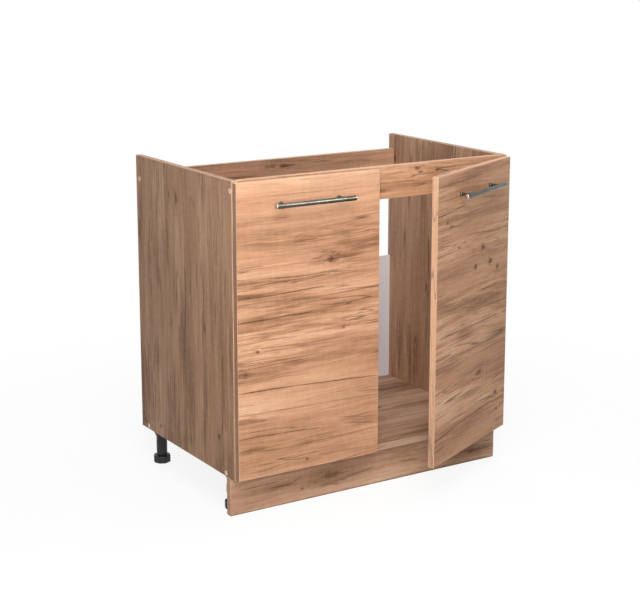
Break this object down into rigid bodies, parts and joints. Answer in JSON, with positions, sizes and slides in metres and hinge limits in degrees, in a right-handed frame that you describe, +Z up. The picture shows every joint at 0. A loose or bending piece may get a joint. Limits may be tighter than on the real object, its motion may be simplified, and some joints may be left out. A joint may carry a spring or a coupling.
{
  "type": "sink base cabinet",
  "caption": "Open-topped kitchen base cabinet for a sink, with hinged doors, bar handles, adjustable legs and a clip-on plinth.",
  "frame": {"origin": "on the floor at the middle of the plinth's underside", "axes": "+Z up, +Y towards the wall behind the cabinet, +X to the right of someone facing the doors"},
  "size_m": [0.802, 0.6884, 0.816],
  "materials": {
    "oak_laminate_front": "oak-grain laminate, horizontal grain, satin",
    "oak_laminate_side": "oak-grain laminate, vertical grain, satin",
    "white_hardboard": "thin white-faced hardboard",
    "dark_chrome": "dark polished chrome",
    "nickel_steel": "nickel-plated steel",
    "zinc_steel": "zinc-plated steel",
    "pale_plastic": "pale wood-coloured plastic",
    "clear_plastic": "milky plastic",
    "black_plastic": "moulded black plastic"
  },
  "bodies": {
    "carcass": {"back_panel": "white_hardboard", "back_rail": "oak_laminate_front", "bottom_panel": "oak_laminate_front", "front_rail": "oak_laminate_front", "left_back_leg_bracket": "black_plastic", "left_back_leg_tube": "black_plastic", "left_cap_back_rail": "pale_plastic", "left_cap_bottom_back": "pale_plastic", "left_cap_bottom_front": "pale_plastic", "left_cap_front_rail": "pale_plastic", "left_front_leg_bracket": "black_plastic", "left_front_leg_tube": "black_plastic", "left_hinge_arm_lower": "nickel_steel", "left_hinge_arm_upper": "nickel_steel", "left_hinge_plate_lower": "nickel_steel", "left_hinge_plate_upper": "nickel_steel", "left_plinth_clip": "clear_plastic", "left_screw_back_rail": "zinc_steel", "left_screw_bottom_back": "zinc_steel", "left_screw_bottom_front": "zinc_steel", "left_screw_front_rail": "zinc_steel", "left_side": "oak_laminate_side", "plinth": "oak_laminate_front", "right_back_leg_bracket": "black_plastic", "right_back_leg_tube": "black_plastic", "right_cap_back_rail": "pale_plastic", "right_cap_bottom_back": "pale_plastic", "right_cap_bottom_front": "pale_plastic", "right_cap_front_rail": "pale_plastic", "right_front_leg_bracket": "black_plastic", "right_front_leg_tube": "black_plastic", "right_hinge_arm_lower": "nickel_steel", "right_hinge_arm_upper": "nickel_steel", "right_hinge_plate_lower": "nickel_steel", "right_hinge_plate_upper": "nickel_steel", "right_plinth_clip": "clear_plastic", "right_screw_back_rail": "zinc_steel", "right_screw_bottom_back": "zinc_steel", "right_screw_bottom_front": "zinc_steel", "right_screw_front_rail": "zinc_steel", "right_side": "oak_laminate_side"},
    "left_door": {"left_door": "oak_laminate_front", "left_handle_bar": "dark_chrome", "left_handle_post_inner": "dark_chrome", "left_handle_post_outer": "dark_chrome", "left_hinge_cup_lower": "nickel_steel", "left_hinge_cup_upper": "nickel_steel"},
    "right_door": {"right_door": "oak_laminate_front", "right_handle_bar": "dark_chrome", "right_handle_post_inner": "dark_chrome", "right_handle_post_outer": "dark_chrome", "right_hinge_cup_lower": "nickel_steel", "right_hinge_cup_upper": "nickel_steel"},
    "left_back_foot": {"left_back_leg_foot": "black_plastic"},
    "left_front_foot": {"left_front_leg_foot": "black_plastic"},
    "right_back_foot": {"right_back_leg_foot": "black_plastic"},
    "right_front_foot": {"right_front_leg_foot": "black_plastic"}
  },
  "joints": [
    {"name": "left_door_swing", "type": "hinge", "parent": "carcass", "child": "left_door", "pos_m": [-0.39265, -0.0435, 0.456], "axis": [0, 0, -1], "range_deg": [0, 100]},
    {"name": "right_door_swing", "type": "hinge", "parent": "carcass", "child": "right_door", "pos_m": [0.39265, -0.0435, 0.456], "axis": [0, 0, 1], "range_deg": [-26, 74]},
    {"name": "left_back_foot_screw", "type": "slide", "parent": "carcass", "child": "left_back_foot", "axis": [0, 0, -1], "range_m": [0, 0.025]},
    {"name": "left_front_foot_screw", "type": "slide", "parent": "carcass", "child": "left_front_foot", "axis": [0, 0, -1], "range_m": [0, 0.025]},
    {"name": "right_back_foot_screw", "type": "slide", "parent": "carcass", "child": "right_back_foot", "axis": [0, 0, -1], "range_m": [0, 0.025]},
    {"name": "right_front_foot_screw", "type": "slide", "parent": "carcass", "child": "right_front_foot", "axis": [0, 0, -1], "range_m": [0, 0.025]}
  ]
}
